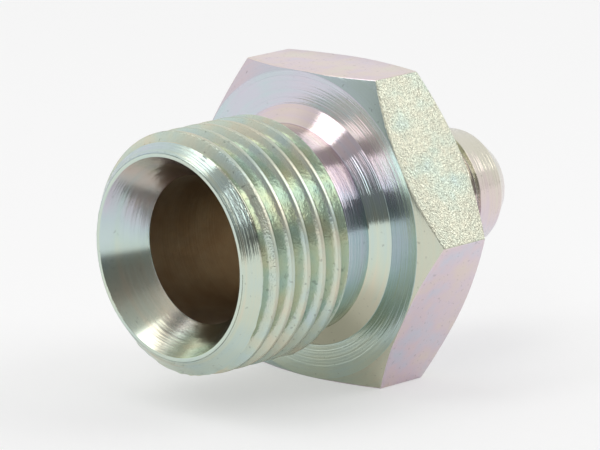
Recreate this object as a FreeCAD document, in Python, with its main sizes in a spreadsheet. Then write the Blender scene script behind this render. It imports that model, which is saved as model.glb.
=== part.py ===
# Threaded hydraulic adapter, turned and milled from one piece of hexagon bar.
#
# The axis lies along Y, level, at half the hexagon's height, so that the adapter rests on a flat.
# The threaded end points to -Y and the small end to +Y. The origin is under the middle of the length.

import FreeCAD, Part
import math
import os
import Sketcher

V = FreeCAD.Vector

SIZES = [
    ("across_flats", 27.0, "hexagon, flat to flat"),
    ("hex_thickness", 7.4, "hexagon, face to face"),
    ("face_diameter", 26.9, "turned circle where the corner chamfer begins"),
    ("chamfer_angle", 30.0, "corner chamfer, from the face"),
    ("threaded_length", 16.0, "hexagon's face to the mouth"),
    ("thread_diameter", 20.955, "over the crests"),
    ("thread_pitch", 1.814, "crest to crest"),
    ("thread_angle", 55.0, "between the flanks"),
    ("thread_depth", 1.162, "crest to root"),
    ("root_radius", 0.249, "rounding at the root"),
    ("thread_start", 2.25, "mouth to the first root"),
    ("thread_roots", 6, "roots between the mouth and the relief"),
    ("rim_diameter", 17.8, "narrow rim outside the seat"),
    ("relief_diameter", 18.1, "neck behind the thread"),
    ("relief_width", 2.2, "neck's level part"),
    ("collar_diameter", 21.1, "foot of the cone between neck and face"),
    ("collar_height", 1.18, "that cone, along the axis"),
    ("mouth_diameter", 17.2, "wide end of the seat"),
    ("seat_angle", 60.0, "seat, side to side"),
    ("port_diameter", 12.8, "bore behind the seat"),
    ("port_depth", 20.0, "mouth to the end of that bore"),
    ("drill_angle", 118.0, "drill's point at the end of that bore"),
    ("passage_diameter", 6.0, "bore through the small end"),
    ("passage_chamfer", 0.4, "broken edge of that bore"),
    ("stub_length", 13.9, "hexagon's back to the tip"),
    ("stub_diameter", 11.4, "plain part behind the ridge"),
    ("ridge_diameter", 12.3, "sharp ridge that grips the hose"),
    ("ridge_reach", 5.6, "ridge to the tip"),
    ("nose_diameter", 10.5, "narrow end of the ridge's taper"),
    ("nose_length", 2.0, "bevel at the tip, along the axis"),
    ("tip_diameter", 7.5, "flat end of the tip"),
    ("nose_radius", 0.8, "rounding between taper and bevel"),
    ("stub_fillet", 0.5, "rounding where the small end meets the hexagon"),
]

doc = FreeCAD.newDocument("adapter")
sheet = doc.addObject("Spreadsheet::Sheet", "Sizes")
for row, (alias, number, meaning) in enumerate(SIZES, 1):
    sheet.set(f"A{row}", meaning)
    sheet.set(f"B{row}", str(number))
    sheet.setAlias(f"B{row}", alias)
doc.recompute()

# Places along the axis that several features share, as expressions of the sheet.
LENGTH = "(Sizes.threaded_length + Sizes.hex_thickness + Sizes.stub_length)"
MOUTH = f"-{LENGTH} / 2"
FACE = f"(Sizes.threaded_length - {LENGTH} / 2)"
BACK = f"({LENGTH} / 2 - Sizes.stub_length)"
THREAD_RADIUS = "Sizes.thread_diameter / 2"
CORNER_RADIUS = "(Sizes.across_flats / 2 / cos(30))"

body = doc.addObject("PartDesign::Body", "adapter")
body.Label = "adapter"


def sketch_on(role, name, along):
    """Sketch on an origin plane of the body, with its own origin on the adapter's axis.

    On YZ_Plane the sketch's x runs along the axis and y is the radius. along is the place of its
    origin on the axis, an expression.
    """
    sketch = body.newObject("Sketcher::SketchObject", name)
    plane = next(item for item in body.Origin.OriginFeatures if item.Role == role)
    sketch.AttachmentSupport = (plane, "")
    sketch.MapMode = "FlatFace"
    sketch.setExpression("AttachmentOffset.Base.y", "Sizes.across_flats / 2")
    if role == "YZ_Plane":
        sketch.setExpression("AttachmentOffset.Base.x", along)
    else:
        sketch.setExpression("AttachmentOffset.Base.z", f"-({along})")
    return sketch


def value(expression):
    """Present value of an expression of the sheet."""
    result = sheet.evalExpression(expression)
    return float(getattr(result, "Value", result))


def draw_outline(sketch, corners):
    """Closed outline through corners, each a pair of expressions: place along the axis and radius."""
    points = [V(value(along), value(radius), 0) for along, radius in corners]
    count = len(points)
    for i in range(count):
        sketch.addGeometry(Part.LineSegment(points[i], points[(i + 1) % count]), False)
    for i in range(count):
        sketch.addConstraint(Sketcher.Constraint("Coincident", i, 2, (i + 1) % count, 1))
    for i, (along, radius) in enumerate(corners):
        for kind, size, where in (("DistanceX", along, points[i].x), ("DistanceY", radius, points[i].y)):
            index = sketch.addConstraint(Sketcher.Constraint(kind, -1, 1, i, 1, where))
            sketch.setExpression(f"Constraints[{index}]", size)


def turn(kind, name, sketch):
    """Full turn of a sketch about the adapter's axis: a Revolution adds, a Groove cuts."""
    feature = body.newObject(f"PartDesign::{kind}", name)
    feature.Profile = sketch
    feature.ReferenceAxis = (sketch, ["H_Axis"])
    feature.Angle = 360
    sketch.Visibility = False
    doc.recompute()
    return feature


# Hexagon: the bar that the adapter is made from, with two flats level.
hexagon = sketch_on("XZ_Plane", "hexagon_sketch", FACE)
corner = value(CORNER_RADIUS)
bar_corners = [FreeCAD.Rotation(V(0, 0, 1), 60 * i) * V(corner, 0, 0) for i in range(6)]
for i in range(6):
    hexagon.addGeometry(Part.LineSegment(bar_corners[i], bar_corners[(i + 1) % 6]), False)
ring = hexagon.addGeometry(Part.Circle(V(), V(0, 0, 1), corner), True)
hexagon.addConstraint(Sketcher.Constraint("Coincident", ring, 3, -1, 1))
for i in range(6):
    hexagon.addConstraint(Sketcher.Constraint("Coincident", i, 2, (i + 1) % 6, 1))
    hexagon.addConstraint(Sketcher.Constraint("PointOnObject", i, 1, ring))
for i in range(5):
    hexagon.addConstraint(Sketcher.Constraint("Equal", i, i + 1))
hexagon.addConstraint(Sketcher.Constraint("Horizontal", 1))
width = hexagon.addConstraint(Sketcher.Constraint("DistanceY", 4, 1, 1, 1, value("Sizes.across_flats")))
hexagon.setExpression(f"Constraints[{width}]", "Sizes.across_flats")

bar = body.newObject("PartDesign::Pad", "hexagon")
bar.Profile = hexagon
bar.setExpression("Length", "Sizes.hex_thickness")
bar.Reversed = True
hexagon.Visibility = False
doc.recompute()

# Corner chamfers: turned on both faces, so that each flat ends in a curve.
for side, place, way in (("front", FACE, ""), ("back", BACK, "-")):
    chamfer = sketch_on("YZ_Plane", f"{side}_chamfer_sketch", place)
    outside = f"(1.1 * {CORNER_RADIUS})"
    rise = f"({outside} - Sizes.face_diameter / 2) * tan(Sizes.chamfer_angle)"
    draw_outline(
        chamfer,
        [("0", "Sizes.face_diameter / 2"), (f"{way}{rise}", outside), ("0", outside)],
    )
    turn("Groove", f"{side}_chamfer", chamfer)

# Threaded end: bevelled rim, barrel, relief neck and the cone down to the hexagon's face.
barrel = sketch_on("YZ_Plane", "barrel_sketch", MOUTH)
neck_end = "(Sizes.threaded_length - Sizes.collar_height)"
neck_start = f"({neck_end} - Sizes.relief_width)"
draw_outline(
    barrel,
    [
        ("0", "0"),
        ("0", "Sizes.rim_diameter / 2"),
        (f"{THREAD_RADIUS} - Sizes.rim_diameter / 2", THREAD_RADIUS),
        (f"{neck_start} - {THREAD_RADIUS} + Sizes.relief_diameter / 2", THREAD_RADIUS),
        (neck_start, "Sizes.relief_diameter / 2"),
        (neck_end, "Sizes.relief_diameter / 2"),
        ("Sizes.threaded_length", "Sizes.collar_diameter / 2"),
        ("Sizes.threaded_length", "0"),
    ],
)
turn("Revolution", "barrel", barrel)

# Small end: plain stub, sharp ridge, taper and bevelled tip.
stub = sketch_on("YZ_Plane", "stub_sketch", BACK)
ridge_place = "(Sizes.stub_length - Sizes.ridge_reach)"
draw_outline(
    stub,
    [
        ("0", "0"),
        ("0", "Sizes.stub_diameter / 2"),
        (ridge_place, "Sizes.stub_diameter / 2"),
        (ridge_place, "Sizes.ridge_diameter / 2"),
        ("Sizes.stub_length - Sizes.nose_length", "Sizes.nose_diameter / 2"),
        ("Sizes.stub_length", "Sizes.tip_diameter / 2"),
        ("Sizes.stub_length", "0"),
    ],
)
turn("Revolution", "stub", stub)

# Thread: its true section, with flat crests and rounded roots, cut as level grooves one pitch apart.
root = sketch_on("YZ_Plane", "root_sketch", f"{MOUTH} + Sizes.thread_start")
half = math.radians(value("Sizes.thread_angle") / 2)
rounding = value("Sizes.root_radius")
root_centre = V(0, value(f"{THREAD_RADIUS} - Sizes.thread_depth + Sizes.root_radius"), 0)
clear = value(f"{THREAD_RADIUS} + Sizes.root_radius")
lift = (clear - root_centre.y + rounding * math.sin(half)) * math.tan(half)
foot = rounding * math.cos(half)
drop = root_centre.y - rounding * math.sin(half)
root.addGeometry(Part.LineSegment(V(-foot - lift, clear, 0), V(-foot, drop, 0)), False)
arc_circle = Part.Circle(root_centre, V(0, 0, 1), rounding)
root.addGeometry(Part.ArcOfCircle(arc_circle, math.pi + half, 2 * math.pi - half), False)
root.addGeometry(Part.LineSegment(V(foot, drop, 0), V(foot + lift, clear, 0)), False)
root.addGeometry(Part.LineSegment(V(foot + lift, clear, 0), V(-foot - lift, clear, 0)), False)
root.addConstraint(Sketcher.Constraint("Tangent", 0, 2, 1, 1))
root.addConstraint(Sketcher.Constraint("Tangent", 1, 2, 2, 1))
root.addConstraint(Sketcher.Constraint("Coincident", 2, 2, 3, 1))
root.addConstraint(Sketcher.Constraint("Coincident", 3, 2, 0, 1))
root.addConstraint(Sketcher.Constraint("PointOnObject", 1, 3, -2))
root.addConstraint(Sketcher.Constraint("Symmetric", 0, 1, 2, 2, -2))
root_place = f"{THREAD_RADIUS} - Sizes.thread_depth + Sizes.root_radius"
for constraint, size in (
    (Sketcher.Constraint("Radius", 1, rounding), "Sizes.root_radius"),
    (Sketcher.Constraint("Angle", 2, 1, 0, 2, 2 * half), "Sizes.thread_angle"),
    (Sketcher.Constraint("DistanceY", -1, 1, 1, 3, root_centre.y), root_place),
    (Sketcher.Constraint("DistanceY", -1, 1, 2, 2, clear), f"{THREAD_RADIUS} + Sizes.root_radius"),
):
    index = root.addConstraint(constraint)
    root.setExpression(f"Constraints[{index}]", size)
first_root = turn("Groove", "first_root", root)

thread = body.newObject("PartDesign::LinearPattern", "thread")
thread.Originals = [first_root]
thread.Direction = (root, ["H_Axis"])
thread.setExpression("Length", "(Sizes.thread_roots - 1) * Sizes.thread_pitch")
thread.setExpression("Occurrences", "Sizes.thread_roots")
body.Tip = thread
doc.recompute()

# Bores: coned seat and port from the threaded end, drilled through to the small end.
port = sketch_on("YZ_Plane", "port_sketch", MOUTH)
seat_depth = "((Sizes.mouth_diameter - Sizes.port_diameter) / 2 / tan(Sizes.seat_angle / 2))"
point_depth = "((Sizes.port_diameter - Sizes.passage_diameter) / 2 / tan(Sizes.drill_angle / 2))"
draw_outline(
    port,
    [
        ("0", "0"),
        ("0", "Sizes.mouth_diameter / 2"),
        (seat_depth, "Sizes.port_diameter / 2"),
        ("Sizes.port_depth", "Sizes.port_diameter / 2"),
        (f"Sizes.port_depth + {point_depth}", "Sizes.passage_diameter / 2"),
        (f"{LENGTH} - Sizes.passage_chamfer", "Sizes.passage_diameter / 2"),
        (LENGTH, "Sizes.passage_diameter / 2 + Sizes.passage_chamfer"),
        (LENGTH, "0"),
    ],
)
bores = turn("Groove", "bores", port)


def round_edge(name, base, along, radius, rounding_size):
    """Fillet on the turned edge of the given radius at the given place on the axis."""
    place = value(along)
    size = value(radius)
    edges = [
        f"Edge{i}"
        for i, edge in enumerate(base.Shape.Edges, 1)
        if isinstance(edge.Curve, Part.Circle)
        and abs(edge.Curve.Radius - size) < 1e-4
        and abs(edge.Curve.Center.y - place) < 1e-4
    ]
    fillet = body.newObject("PartDesign::Fillet", name)
    fillet.Base = (base, edges)
    fillet.setExpression("Radius", rounding_size)
    doc.recompute()
    return fillet


nose_place = f"{LENGTH} / 2 - Sizes.nose_length"
nose_round = round_edge("nose_round", bores, nose_place, "Sizes.nose_diameter / 2", "Sizes.nose_radius")
round_edge("stub_round", nose_round, BACK, "Sizes.stub_diameter / 2", "Sizes.stub_fillet")

for item in doc.Objects:
    if "Invalid" in item.State or "Error" in item.State:
        raise RuntimeError(f"{item.Name} failed: {item.State}")
shape = body.Shape
if shape.isNull() or not shape.isValid() or len(shape.Solids) != 1:
    raise RuntimeError("the adapter is not one valid solid")

os.makedirs("parts", exist_ok=True)
shape.exportStep(f"parts/{body.Label}.step")
box = shape.BoundBox
print("volume", round(shape.Volume, 1), "centre", [round(c, 3) for c in shape.Solids[0].CenterOfMass])
print("box", [round(c, 3) for c in (box.XMin, box.XMax, box.YMin, box.YMax, box.ZMin, box.ZMax)])
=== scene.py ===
# Threaded hydraulic adapter, one piece of free-cutting steel: turned on a lathe from hexagon bar,
# bored through, threaded, then zinc plated and passivated, which leaves faint rainbow tints.
#
# Sizes are in millimetres and become metres in the mesh. The axis runs along Y at half the hexagon's
# height. A place along the axis is counted from the mouth of the threaded end, and an angle goes
# round the axis from +X over +Z.
#
# The skin is described by rows: (place, radius, finish), from the mouth over the outside to the tip
# and back through the bores. A row's finish covers the strip from it to the next row.

import math

import bmesh
import bpy
from mathutils import Matrix, Vector, noise


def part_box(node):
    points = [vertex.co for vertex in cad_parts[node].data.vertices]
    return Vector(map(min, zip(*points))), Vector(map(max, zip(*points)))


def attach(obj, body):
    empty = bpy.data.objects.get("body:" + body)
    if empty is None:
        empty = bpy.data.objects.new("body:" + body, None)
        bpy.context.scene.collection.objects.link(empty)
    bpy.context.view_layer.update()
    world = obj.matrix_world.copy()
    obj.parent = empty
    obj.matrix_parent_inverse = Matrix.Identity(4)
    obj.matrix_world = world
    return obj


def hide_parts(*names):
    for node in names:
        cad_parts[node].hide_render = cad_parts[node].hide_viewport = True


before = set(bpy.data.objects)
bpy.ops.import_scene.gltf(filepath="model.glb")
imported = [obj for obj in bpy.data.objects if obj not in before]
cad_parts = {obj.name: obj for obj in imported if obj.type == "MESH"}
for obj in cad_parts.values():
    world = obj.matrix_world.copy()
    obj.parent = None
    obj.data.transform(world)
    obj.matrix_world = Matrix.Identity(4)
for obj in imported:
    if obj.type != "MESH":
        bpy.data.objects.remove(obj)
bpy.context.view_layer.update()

# Hexagon bar.
# The steel bar that everything is turned from, with its drawn skin left on the six flats. Both ends
# of the flats are chamfered on the lathe, and its corners are broken by the drawing die. The zinc
# plating that covers it covers all the other parts of the adapter too.

low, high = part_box("adapter")
across_flats = (high.z - low.z) * 1000
length = (high.y - low.y) * 1000
hexagon_start = 16.0
hexagon_thickness = 7.4
hexagon_end = hexagon_start + hexagon_thickness
face_radius = 13.45
chamfer_slope = math.tan(math.radians(30))
corner_rounding = 0.25
flat_kinds = ["grainy_flat"] + ["smooth_flat"] * 5

# An edge's rounding, in shares of its softness: where it begins on each side, the row that keeps
# the chamfer beside it flat, and its middle as (along the axis, across it).
edge_softness = 0.07
edge_reach = 1.2
edge_hold = 1.6
flat_edge = (0.1, 0.3)
face_edge = (0.2, 0.8)

# The grainy flat's front edge is torn by this much, clear of the corners by some degrees.
torn_depth = 0.09
torn_grain = 0.9
torn_clearance = 2


def bar_radius(angle):
    """From the axis to the bar's side, at an angle in degrees, with rounded corners."""
    half_side = math.radians(30)
    off_corner = math.radians(abs((angle + 30) % 60 - 30))
    centre = (across_flats / 2 - corner_rounding) / math.cos(half_side)
    tangent = math.atan2(corner_rounding / 2, centre + corner_rounding * math.cos(half_side))
    if off_corner < tangent:
        aside = centre * math.sin(off_corner)
        return centre * math.cos(off_corner) + math.sqrt(corner_rounding**2 - aside**2)
    return across_flats / 2 / math.cos(half_side - off_corner)


def hexagon_skin(angle):
    """Rows over the hexagon from the front face's edge to the back face's edge."""
    side = bar_radius(angle)
    flat = flat_kinds[int(angle % 360 // 60)]
    rise = (side - face_radius) * chamfer_slope
    soft = min(edge_softness, rise / 3)
    torn = 0.0
    if flat == "grainy_flat" and torn_clearance < angle < 60 - torn_clearance:
        torn = torn_depth * abs(noise.noise(Vector((angle * torn_grain, 0.3, 0.7))))
    front = hexagon_start + rise
    back = hexagon_end - rise
    reach = edge_reach * soft
    front_hold = edge_hold * soft + torn
    front_reach = reach + torn
    return [
        (hexagon_start, face_radius - soft, "face"),
        (hexagon_start + soft * face_edge[0], face_radius + soft * face_edge[1], "chamfer"),
        (front - front_hold * chamfer_slope, side - front_hold, "chamfer"),
        (front - front_reach * chamfer_slope, side - front_reach, flat),
        (front + flat_edge[0] * soft, side - flat_edge[1] * soft, flat),
        (front + reach, side, flat),
        ((front + back) / 2, side, flat),
        (back - reach, side, flat),
        (back - flat_edge[0] * soft, side - flat_edge[1] * soft, "chamfer"),
        (back + reach * chamfer_slope, side - reach, "chamfer"),
        (hexagon_end - soft * face_edge[0], face_radius + soft * face_edge[1], "face"),
        (hexagon_end, face_radius - soft, "back"),
    ]


class Value:
    """A node's output in a sum. Each step of the sum adds its Math node."""

    def __init__(self, socket):
        self.socket = socket

    @staticmethod
    def node(tree, kind, settings, inputs, output=0):
        """Any other node, by its type, its settings and the values or links of its sockets."""
        made = tree.nodes.new(kind)
        for name, setting in settings.items():
            if name == "stops":
                while len(made.color_ramp.elements) < len(setting):
                    made.color_ramp.elements.new(1)
                for stop, (place, colour) in zip(made.color_ramp.elements, setting):
                    stop.position = place
                    stop.color = (*colour, 1)
            else:
                setattr(made, name, setting)
        for name, given in inputs.items():
            if isinstance(given, Value):
                tree.links.new(given.socket, made.inputs[name])
            else:
                made.inputs[name].default_value = given
        return Value(made.outputs[output])

    def step(self, operation, first, second=0.0, clamp=False):
        settings = {"operation": operation, "use_clamp": clamp}
        return Value.node(self.socket.id_data, "ShaderNodeMath", settings, {0: first, 1: second})

    def __add__(self, other):
        return self.step("ADD", self, other)

    def __radd__(self, other):
        return self.step("ADD", other, self)

    def __sub__(self, other):
        return self.step("SUBTRACT", self, other)

    def __rsub__(self, other):
        return self.step("SUBTRACT", other, self)

    def __mul__(self, other):
        return self.step("MULTIPLY", self, other)

    def __rmul__(self, other):
        return self.step("MULTIPLY", other, self)

    def __truediv__(self, other):
        return self.step("DIVIDE", self, other)

    def __rtruediv__(self, other):
        return self.step("DIVIDE", other, self)

    def __pow__(self, other):
        return self.step("POWER", self, other)

    def __rpow__(self, other):
        return self.step("POWER", other, self)

    def rise(self, low, high):
        """Zero below low, one above high, straight between them."""
        return self.step("ADD", (self - low) * (1 / (high - low)), 0.0, clamp=True)

    def swing(self, amount):
        """A noise of 0 to 1 turned into a change of this much about zero."""
        return (self - 0.5) * amount


# The film's colours as it gets thicker: straw, pink, lavender, blue, teal, green and straw again.
passivation = [
    (0.0, (0.75, 0.72, 0.60)),
    (0.17, (0.78, 0.67, 0.63)),
    (0.3, (0.75, 0.64, 0.69)),
    (0.43, (0.67, 0.66, 0.74)),
    (0.56, (0.60, 0.70, 0.73)),
    (0.7, (0.59, 0.71, 0.66)),
    (0.84, (0.66, 0.73, 0.61)),
    (1.0, (0.75, 0.72, 0.57)),
]


class Plating:
    """One zinc finish: a metal material with the places and patterns that finishes are made from."""

    def __init__(self, name, roughness):
        self.material = bpy.data.materials.new(name)
        self.material.use_nodes = True
        self.tree = self.material.node_tree
        self.shader = self.tree.nodes["Principled BSDF"]
        self.shader.inputs["Metallic"].default_value = 1.0
        self.shader.inputs["Roughness"].default_value = roughness
        place = self.add("ShaderNodeTexCoord", {}, {}, "Object")
        to_axis = (0, 0, -across_flats / 2000)
        centred = self.add("ShaderNodeVectorMath", {"operation": "ADD"}, {0: place, 1: to_axis})
        millimetres = {0: centred, "Scale": 1000.0}
        self.place = self.add("ShaderNodeVectorMath", {"operation": "SCALE"}, millimetres)
        self.x = self.add("ShaderNodeSeparateXYZ", {}, {0: self.place}, "X")
        self.y = self.add("ShaderNodeSeparateXYZ", {}, {0: self.place}, "Y")
        self.z = self.add("ShaderNodeSeparateXYZ", {}, {0: self.place}, "Z")
        self.radius = (self.x * self.x + self.z * self.z) ** 0.5

    def add(self, kind, settings, inputs, output=0):
        return Value.node(self.tree, kind, settings, inputs, output)

    def vary(self, given, socket):
        """Feed one of the shader's own sockets with what changes over the surface."""
        self.tree.links.new(given.socket, self.shader.inputs[socket])

    def towards(self, angle):
        """From -1 to 1: how far a point lies round the axis towards an angle, in degrees."""
        turn = math.radians(angle)
        return (self.x * math.cos(turn) + self.z * math.sin(turn)) / self.radius

    def rings(self, scale, detail=2.0, shift=0.0):
        """Noise that changes along the profile only, as a turning tool's marks do."""
        across_profile = 0.83
        feed = self.y + self.radius * across_profile + shift
        inputs = {"W": feed, "Scale": scale, "Detail": detail}
        return self.add("ShaderNodeTexNoise", {"noise_dimensions": "1D"}, inputs)

    def clouds(self, scale, detail=2.0, stretch=(1, 1, 1)):
        """Noise in space, with a stretch of its own along each axis."""
        stretched = {0: self.place, 1: stretch}
        place = self.add("ShaderNodeVectorMath", {"operation": "MULTIPLY"}, stretched)
        inputs = {"Vector": place, "Scale": scale, "Detail": detail}
        return self.add("ShaderNodeTexNoise", {}, inputs)

    def tint(self, thickness, shade=1.0, film=passivation):
        """Base colour from the film's thickness, times a shade."""
        colour = self.add("ShaderNodeValToRGB", {"stops": film}, {"Fac": thickness})
        scaled = {0: colour, "Scale": shade}
        self.vary(self.add("ShaderNodeVectorMath", {"operation": "SCALE"}, scaled), "Base Color")

    def relief(self, height, depth):
        """Bump from a height of 0 to 1, with its depth in millimetres."""
        inputs = {"Height": height, "Strength": 1.0, "Distance": depth / 1000}
        self.vary(self.add("ShaderNodeBump", {}, inputs), "Normal")


def smooth_flat():
    """Drawn skin: pink to lavender in soft clouds, with dark specks and long marks of the die."""
    zinc = Plating("smooth_flat", roughness=0.3)
    film = 0.26 + zinc.towards(-60) * 0.04 + zinc.clouds(0.33, 4.0).swing(0.75)
    speck = zinc.clouds(3.0, 1.0).rise(0.66, 0.74)
    zinc.tint(film, shade=1.04 - speck * 0.2)
    long_marks = zinc.clouds(4.0, 3.0, stretch=(1, 0.12, 1))
    zinc.relief(long_marks + zinc.clouds(1.0, 3.0) * 0.6, depth=0.016)
    return zinc.material


def grainy_flat():
    """The one flat whose skin the plating left coarse and sparkling: straw with blue patches, and
    specks in its colour that are partly grain and partly painted glints.
    """
    zinc = Plating("grainy_flat", roughness=0.3)
    blue_patch = zinc.clouds(0.28, 3.0).rise(0.5, 0.75)
    film = 0.94 - blue_patch * 0.2 + zinc.clouds(1.6, 2.0).swing(0.15)
    # Bright and dark specks in the base colour: partly grain tone, partly painted glints.
    grain_and_painted_glints = zinc.clouds(6.5, 2.0).swing(1.3)
    zinc.tint(film, shade=0.9 + grain_and_painted_glints)
    zinc.relief(zinc.clouds(6.0, 4.0), depth=0.1)
    return zinc.material


def turned(name, thickness, lean, lean_angle, drift, depth, roughness=0.1, shade=1.0):
    """A lathe finish. The film leans thicker towards an angle and drifts in clouds and rings."""
    zinc = Plating(name, roughness)
    cloud = zinc.clouds(0.16, 2.0).swing(drift)
    band = zinc.rings(1.6, 2.0, shift=5.0).swing(drift * 0.4)
    film = thickness + zinc.towards(lean_angle) * lean + cloud + band
    fleck = zinc.clouds(3.0, 1.0).rise(0.7, 0.76)
    zinc.tint(film, (1.0 - fleck * 0.25) * shade)
    wander = zinc.clouds(0.5, 1.0) * 0.05
    fine = zinc.rings(5.5, 3.0, shift=wander)
    coarse = zinc.rings(1.5, 1.0)
    zinc.relief(fine + coarse * 0.5 + zinc.clouds(1.2, 2.0) * 0.12, depth)
    return zinc.material


finishes = {
    "smooth_flat": smooth_flat(),
    "grainy_flat": grainy_flat(),
    "chamfer": turned(
        "chamfer", thickness=0.65, lean=-0.33, lean_angle=150, drift=0.3, depth=0.008,
        roughness=0.17, shade=0.92,
    ),
    "face": turned(
        "face", thickness=0.62, lean=0.2, lean_angle=-90, drift=0.5, depth=0.02, roughness=0.15
    ),
    "back": turned("back", thickness=0.6, lean=0.27, lean_angle=80, drift=0.3, depth=0.05),
}

# Threaded end.
# A parallel pipe thread of 55 degrees, cut right-handed into the turned steel with a single point,
# from the bevelled mouth into a relief neck. A cone leads from that neck to the hexagon's face.

thread_radius = 10.4775
thread_pitch = 1.814
thread_depth = 1.162
root_rounding = 0.249
half_angle = math.radians(55 / 2)
thread_start = 1.25
thread_turns = range(-1, 7)
thread_middle = 4
rim_radius = 8.9
bevel_end = thread_radius - rim_radius
neck_radius = 9.05
neck_start = 12.37
runout_start = neck_start - (thread_radius - neck_radius)
collar_start = 14.82
collar_radius = 10.55

# The groove's rounded root: its centre, and where it meets the flanks.
root_centre = thread_radius - thread_depth + root_rounding
root_foot = root_rounding * math.cos(half_angle)
root_drop = root_centre - root_rounding * math.sin(half_angle)
root_step = root_foot * 0.55
groove_reach = 1.1
crest_softness = 0.03
crest_sink = 0.35

# A flat strip beside each rounding, so that the flat's shading stays true.
flank_hold = 0.03

# Burrs: their height, how fine they are, and how much of the crest they cover.
burr_height = 0.09
burr_grain = 14
burr_share = 0.25
last_crest_width = 0.6

# Edges between the neck, the collar's cone and the hexagon's face.
neck_seam = 0.001
collar_foot = 0.15
face_foot = 0.1
face_inner = 11.6
face_outer = 12.6


def blank_radius(place):
    """The turned blank before threading: bevel, barrel, runout and neck."""
    if place < bevel_end:
        return rim_radius + place
    if place < runout_start:
        return thread_radius
    return max(neck_radius, thread_radius - (place - runout_start))


def groove_radius(off_root):
    """The thread's groove at a distance along the axis from its root."""
    off_root = abs(off_root)
    if off_root < root_foot:
        return root_centre - math.sqrt(root_rounding**2 - off_root**2)
    return root_drop + (off_root - root_foot) / math.tan(half_angle)


def groove_ends(root):
    """Where one groove breaks through the blank's skin. Both ends meet where it misses the blank."""

    def above_blank(place):
        return groove_radius(place - root) - blank_radius(place)

    near = max(0.0, min(neck_start, root - groove_reach))
    far = max(0.0, min(neck_start, root + groove_reach))
    first, last = near, far
    for _ in range(40):
        third = (last - first) / 3
        if above_blank(first + third) < above_blank(last - third):
            last -= third
        else:
            first += third
    deepest = (first + last) / 2
    if above_blank(deepest) >= 0:
        return deepest, deepest
    ends = []
    for outside in (near, far):
        inside = deepest
        for _ in range(30):
            middle = (inside + outside) / 2
            if above_blank(middle) < 0:
                inside = middle
            else:
                outside = middle
        ends.append(inside)
    return ends


def burr(place, angle):
    """Ragged metal that the threading tool threw up on the first crest and on the last."""
    if bevel_end < place < runout_start - last_crest_width:
        return 0.0
    turn = math.radians(angle)
    around = Vector((math.cos(turn), math.sin(turn), 0)) * burr_grain + Vector((0, 0, place))
    return burr_height * max(0.0, noise.noise(around) + burr_share)


def thread_skin(angle):
    """Rows over the bevel, the thread and its runout, following the helix."""

    def blank_finish(place):
        return "bevel" if place < bevel_end else "thread"

    rows = []
    previous = 0.0
    for turn in thread_turns:
        root = thread_start + thread_pitch * (turn + (90 - angle) / 360)
        start, end = groove_ends(root)
        cut = end > start
        soft = min(crest_softness, (end - start) / 4, (start - previous) / 3)
        corner = bevel_end if turn < thread_middle else runout_start
        corner = max(previous, min(start - soft, corner))
        before = start - soft
        groove_finish = "thread" if cut else blank_finish(start)
        ragged = burr(start, angle) if cut else 0.0
        rows.append((corner, blank_radius(corner), blank_finish(corner)))
        rows.append((before, blank_radius(before), groove_finish))
        rows.append((start, blank_radius(start) - soft * crest_sink + ragged, groove_finish))
        for place in (
            start + soft,
            root - root_foot - flank_hold,
            root - root_foot,
            root - root_step,
            root,
            root + root_step,
            root + root_foot,
            root + root_foot + flank_hold,
            end - soft,
        ):
            place = max(start + soft, min(end - soft, place))
            radius = min(groove_radius(place - root), blank_radius(place))
            rows.append((place, radius, groove_finish))
        rows.append((end, blank_radius(end) - soft * crest_sink, groove_finish))
        previous = min(end + soft, neck_start)
        rows.append((previous, blank_radius(previous), blank_finish(previous)))
    return rows


def rounded(corners, steps=2):
    """Rows through corners (place, radius, rounding, finish), each turned into a small arc."""
    rows = []
    for i, (place, radius, rounding, finish) in enumerate(corners):
        here = Vector((place, radius))
        if rounding == 0 or i in (0, len(corners) - 1):
            rows.append((place, radius, finish))
            continue
        before = (Vector(corners[i - 1][:2]) - here).normalized()
        after = (Vector(corners[i + 1][:2]) - here).normalized()
        half = before.angle(after) / 2
        reach = rounding / math.tan(half)
        centre = here + (before + after).normalized() * (rounding / math.sin(half))
        first = here + before * reach - centre
        last = here + after * reach - centre
        sweep = first.angle_signed(last)
        hold = here + before * (reach + flank_hold)
        rows.append((hold.x, hold.y, rows[-1][2]))
        for step in range(steps + 1):
            arm = Matrix.Rotation(-sweep * step / steps, 2) @ first
            rows.append((centre.x + arm.x, centre.y + arm.y, finish))
        hold = here + after * (reach + flank_hold)
        rows.append((hold.x, hold.y, finish))
    return rows


neck_rows = rounded(
    [
        (neck_start - neck_seam, neck_radius, 0, "neck"),
        (collar_start, neck_radius, collar_foot, "collar"),
        (hexagon_start, collar_radius, face_foot, "face"),
        (hexagon_start, face_inner, 0, "face"),
        (hexagon_start, face_outer, 0, "face"),
        (hexagon_start, face_radius - edge_softness, 0, "face"),
    ]
)[:-1]


def threaded_flank():
    """Grainy flanks, green to straw, with duller and darker crests, painted shade in the grooves,
    and torn first and last crests.
    """
    zinc = Plating("thread", roughness=0.16)
    crest = zinc.radius.rise(10.38, 10.44)
    height = zinc.radius.rise(9.4, 10.4)
    zinc.vary(crest * 0.16 + 0.16, "Roughness")
    film = 0.86 - height * 0.03 + zinc.clouds(0.3, 4.0).swing(0.9) + crest * 0.06
    pits = zinc.clouds(2.2, 1.0).rise(0.7, 0.74)
    # The colour darkens towards the groove roots, as painted shade in the grooves, and a little on
    # the crests.
    zinc.tint(film, (1.0 - pits * 0.3) * (0.88 + height * 0.12 - crest * 0.1))
    place = zinc.y + length / 2
    first_crest = place.rise(3.2, 2.6)
    last_crest = place.rise(10.6, 11.1)
    torn = (first_crest + last_crest) * zinc.radius.rise(10.0, 10.35)
    fine = zinc.clouds(6.0, 2.0) * (0.25 + torn * 1.6)
    zinc.relief(zinc.clouds(3.6, 3.0) * 0.5 + fine, depth=0.028)
    return zinc.material


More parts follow.
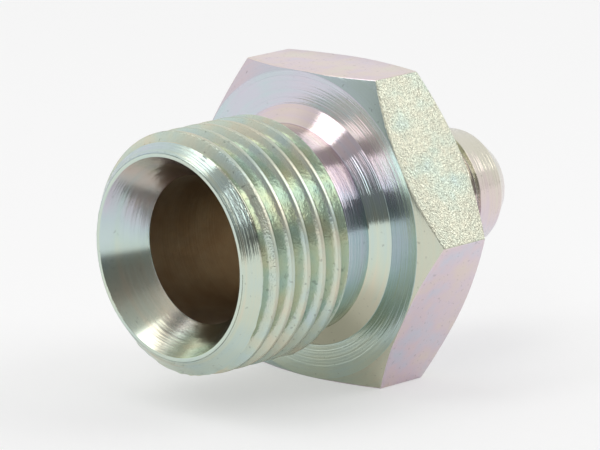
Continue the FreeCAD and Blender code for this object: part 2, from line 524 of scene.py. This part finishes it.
finishes["bevel"] = turned(
    "bevel", thickness=0.72, lean=0.1, lean_angle=-30, drift=0.8, depth=0.05, shade=0.96
)
finishes["thread"] = threaded_flank()
finishes["neck"] = turned(
    "neck", thickness=0.55, lean=-0.4, lean_angle=75, drift=0.6, depth=0.018
)
finishes["collar"] = turned(
    "collar", thickness=0.72, lean=-0.48, lean_angle=95, drift=0.5, depth=0.01, roughness=0.08
)

# Small end.
# A plain stub with one sharp ridge that a hose grips, tapered and bevelled at the tip so that the
# hose slides on. It is turned from the same bar on the far side of the hexagon.

stub_radius = 5.7
stub_foot = 0.5
back_middle = 10.0
ridge_place = 31.7
ridge_radius = 6.15
nose_start = 35.3
nose_radius = 5.25
nose_rounding = 0.8
tip_radius = 3.75
passage_radius = 3.0
passage_chamfer = 0.4
passage_middle = 30.0

stub_rows = rounded(
    [
        (hexagon_end, face_radius - edge_softness, 0, "back"),
        (hexagon_end, back_middle, 0, "back"),
        (hexagon_end, stub_radius, stub_foot, "stub"),
        (ridge_place, stub_radius, 0.12, "stub"),
        (ridge_place, ridge_radius, 0.05, "stub"),
        (nose_start, nose_radius, nose_rounding, "stub"),
        (length, tip_radius, 0.15, "stub"),
        (length, passage_radius + passage_chamfer, 0.05, "stub"),
        (length - passage_chamfer, passage_radius, 0.1, "port"),
        (passage_middle, passage_radius, 0, "port"),
    ],
    steps=3,
)[1:]

finishes["stub"] = turned(
    "stub", thickness=0.14, lean=0.3, lean_angle=-80, drift=0.5, depth=0.05, shade=0.97
)

# Seat and bores.
# The coned seat at the mouth, 60 degrees, bored with a fine feed. Behind it is the port, drilled to
# a point, from which the narrow passage goes on through the small end. Both are nearly bare steel.

mouth_radius = 8.6
port_radius = 6.4
seat_width = mouth_radius - port_radius
seat_depth = seat_width / math.tan(math.radians(30))
edge_break = 0.06
port_middle = 12.0
port_depth = 20.0
point_depth = (port_radius - passage_radius) / math.tan(math.radians(59))

bore_rows = rounded(
    [
        (passage_middle, passage_radius, 0, "port"),
        (port_depth + point_depth, passage_radius, 0.1, "port"),
        (port_depth, port_radius, 0.1, "port"),
        (port_middle, port_radius, 0, "port"),
        (seat_depth, port_radius, edge_break, "seat"),
        (seat_depth * 0.66, port_radius + seat_width * 0.34, 0, "seat"),
        (seat_depth * 0.33, port_radius + seat_width * 0.67, 0, "seat"),
        (0.0, mouth_radius, edge_break, "rim"),
        (0.0, rim_radius, edge_break, "bevel"),
        (0.3, rim_radius + 0.3, 0, "bevel"),
    ]
)[1:-1]


def bored_port():
    """The bored port, where hardly any zinc is thrown: dark brown steel with faint rings."""
    bare_steel = [(0.35, (0.57, 0.46, 0.33)), (0.65, (0.66, 0.58, 0.45))]
    zinc = Plating("port", roughness=0.4)
    zinc.tint(zinc.clouds(0.35, 3.0), film=bare_steel)
    zinc.relief(zinc.rings(4.5, 2.0) * 0.6 + zinc.clouds(1.5, 2.0) * 0.6, depth=0.01)
    return zinc.material


finishes["port"] = bored_port()
finishes["seat"] = turned(
    "seat", thickness=0.58, lean=0.35, lean_angle=-100, drift=0.8, depth=0.007, roughness=0.19
)
finishes["rim"] = turned("rim", thickness=0.78, lean=0.0, lean_angle=0, drift=0.4, depth=0.03)

# The adapter.
# All of the steel is one skin: each column runs lengthways over the outside and back through the
# bores, and the columns follow each other round the axis, closer together at the bar's corners.

column_count = 432
corner_steps = (-0.46, -0.23, 0.0, 0.23, 0.46)
weld_distance = 2e-7
sharp_angle = math.radians(38)

angles = {round(step * 360 / column_count, 4) for step in range(column_count + 1)}
for corner in range(7):
    for step in corner_steps:
        if 0 <= 60 * corner + step <= 360:
            angles.add(round(60 * corner + step, 4))

finish_names = list(finishes)
skin = bmesh.new()
columns = []
for angle in sorted(angles):
    turn = math.radians(angle)
    rows = thread_skin(angle) + neck_rows + hexagon_skin(angle) + stub_rows + bore_rows
    column = []
    for place, radius, finish in rows:
        height = radius * math.sin(turn) + across_flats / 2
        position = Vector((radius * math.cos(turn), place - length / 2, height))
        column.append(skin.verts.new(position / 1000))
    columns.append((column, [finish_names.index(finish) for _, _, finish in rows]))
for (left, kinds), (right, _) in zip(columns, columns[1:]):
    for i in range(len(left)):
        face = skin.faces.new((left[i - 1], left[i], right[i], right[i - 1]))
        face.material_index = kinds[i - 1]
        face.smooth = True
bmesh.ops.remove_doubles(skin, verts=skin.verts, dist=weld_distance)
bmesh.ops.dissolve_degenerate(skin, edges=skin.edges, dist=weld_distance)
bmesh.ops.recalc_face_normals(skin, faces=skin.faces)
mesh = bpy.data.meshes.new("adapter_skin")
skin.to_mesh(mesh)
skin.free()
mesh.set_sharp_from_angle(angle=sharp_angle)
for material in finishes.values():
    mesh.materials.append(material)
adapter = bpy.data.objects.new("plated_adapter", mesh)
bpy.context.scene.collection.objects.link(adapter)
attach(adapter, "root")
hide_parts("adapter")

# Table and studio light.
# A white table in a white room whose side towards the camera is dark. One long soft light hangs
# overhead on the left, a wide one stands behind, and a narrow slanted one is just above the camera.

table_reach = 2.0
table_edge = [(-1, -1), (1, -1), (1, 1), (-1, 1)]
table_mesh = bpy.data.meshes.new("table")
table_corners = [(x * table_reach, y * table_reach, 0) for x, y in table_edge]
table_mesh.from_pydata(table_corners, [], [(0, 1, 2, 3)])
table = bpy.data.objects.new("table", table_mesh)
bpy.context.scene.collection.objects.link(table)

# The share of plain white in the table, as the camera sees it and as the metal mirrors it.
white_seen = 0.45
white_mirrored = 0.15
table_white = bpy.data.materials.new("table_white")
table_white.use_nodes = True
table_tree = table_white.node_tree
table_shader = table_tree.nodes["Principled BSDF"]
table_shader.inputs["Base Color"].default_value = (0.95, 0.95, 0.95, 1)
table_shader.inputs["Roughness"].default_value = 0.9
camera_ray = Value.node(table_tree, "ShaderNodeLightPath", {}, {}, "Is Camera Ray")
glossy_ray = Value.node(table_tree, "ShaderNodeLightPath", {}, {}, "Is Glossy Ray")
passing_ray = Value.node(table_tree, "ShaderNodeLightPath", {}, {}, "Is Transmission Ray")
white_share = camera_ray * white_seen + (glossy_ray + passing_ray) * white_mirrored
glow = Value.node(table_tree, "ShaderNodeEmission", {}, {"Color": (1, 1, 1, 1), "Strength": 1.0})
blend_inputs = {0: white_share, 1: Value(table_shader.outputs[0]), 2: glow}
blend = Value.node(table_tree, "ShaderNodeMixShader", {}, blend_inputs)
table_tree.links.new(blend.socket, table_tree.nodes["Material Output"].inputs["Surface"])
table_mesh.materials.append(table_white)

dark_side = (0.807, -0.565, 0.174)
wall_levels = [(0.35, 0.87), (0.7, 0.5), (0.85, 0.36), (0.92, 0.2), (0.98, 0.15)]
world = bpy.data.worlds.new("studio")
world.use_nodes = True
room = world.node_tree
direction = Value.node(room, "ShaderNodeTexCoord", {}, {}, "Generated")
both = {0: direction, 1: dark_side}
facing = Value.node(room, "ShaderNodeVectorMath", {"operation": "DOT_PRODUCT"}, both, "Value")
wall_stops = {"stops": [(place, (level, level, level)) for place, level in wall_levels]}
walls = Value.node(room, "ShaderNodeValToRGB", wall_stops, {"Fac": facing * 0.5 + 0.5}, "Color")
room.links.new(walls.socket, room.nodes["Background"].inputs["Color"])
bpy.context.scene.world = world


def soft_light(name, place, target, width, height, brightness, turn=0.0):
    """A rectangular soft light at a place, in metres, that faces a target, turned in its plane."""
    lamp = bpy.data.lights.new(name, "AREA")
    lamp.shape = "RECTANGLE"
    lamp.size = width
    lamp.size_y = height
    lamp.energy = brightness * math.pi * width * height
    holder = bpy.data.objects.new(name, lamp)
    facing_target = (Vector(place) - Vector(target)).to_track_quat("Z", "Y").to_matrix()
    spin = Matrix.Rotation(math.radians(turn), 3, "Z")
    holder.matrix_world = Matrix.Translation(place) @ (facing_target @ spin).to_4x4()
    bpy.context.scene.collection.objects.link(holder)


def from_axis(azimuth, elevation):
    """A unit vector at an azimuth from -Y over +X and an elevation, both in degrees."""
    turn, lift = math.radians(azimuth), math.radians(elevation)
    flat = math.cos(lift)
    return Vector((math.sin(turn) * flat, -math.cos(turn) * flat, math.sin(lift)))


adapter_middle = Vector((0, 0, across_flats / 2000))
light_distance = 0.7
overhead_place = Vector((-0.192, -0.297, 0.6))
soft_light(
    "overhead_light", overhead_place, overhead_place * Vector((1, 1, 0)),
    width=0.29, height=0.674, brightness=1.6, turn=-14,
)
soft_light(
    "back_light", adapter_middle + from_axis(138, 38.5) * light_distance, adapter_middle,
    width=0.455, height=0.43, brightness=1.9,
)
soft_light(
    "camera_light", adapter_middle + from_axis(30, 35) * light_distance, adapter_middle,
    width=0.12, height=0.36, brightness=3.0, turn=35,
)

# Camera.
# Level with the photograph: from the threaded end, right of the axis and a little above. It aims
# past the hexagon's middle by a few millimetres, as the photograph does.

azimuth = 45.533
elevation = 13.245
roll = math.radians(-1.169)
camera_distance = 424.85
aim_right = -1.2125
aim_up = -0.2514
aim_along = -1.416
focal_length = 295.75
sensor_width = 36

back = from_axis(azimuth, elevation)
right = Vector((math.cos(math.radians(azimuth)), math.sin(math.radians(azimuth)), 0))
up = back.cross(right)
rolled_right = right * math.cos(roll) + up * math.sin(roll)
rolled_up = up * math.cos(roll) - right * math.sin(roll)
aim = Vector((0, aim_along, across_flats / 2)) + rolled_right * aim_right + rolled_up * aim_up
place = (aim + back * camera_distance) / 1000
camera_data = bpy.data.cameras.new("camera")
camera_data.lens = focal_length
camera_data.sensor_width = sensor_width
camera_data.clip_start = 0.01
camera = bpy.data.objects.new("camera", camera_data)
axes = Matrix((rolled_right, rolled_up, back)).transposed()
camera.matrix_world = Matrix.Translation(place) @ axes.to_4x4()
bpy.context.scene.collection.objects.link(camera)
bpy.context.scene.camera = camera

bpy.context.scene.view_settings.view_transform = "Standard"
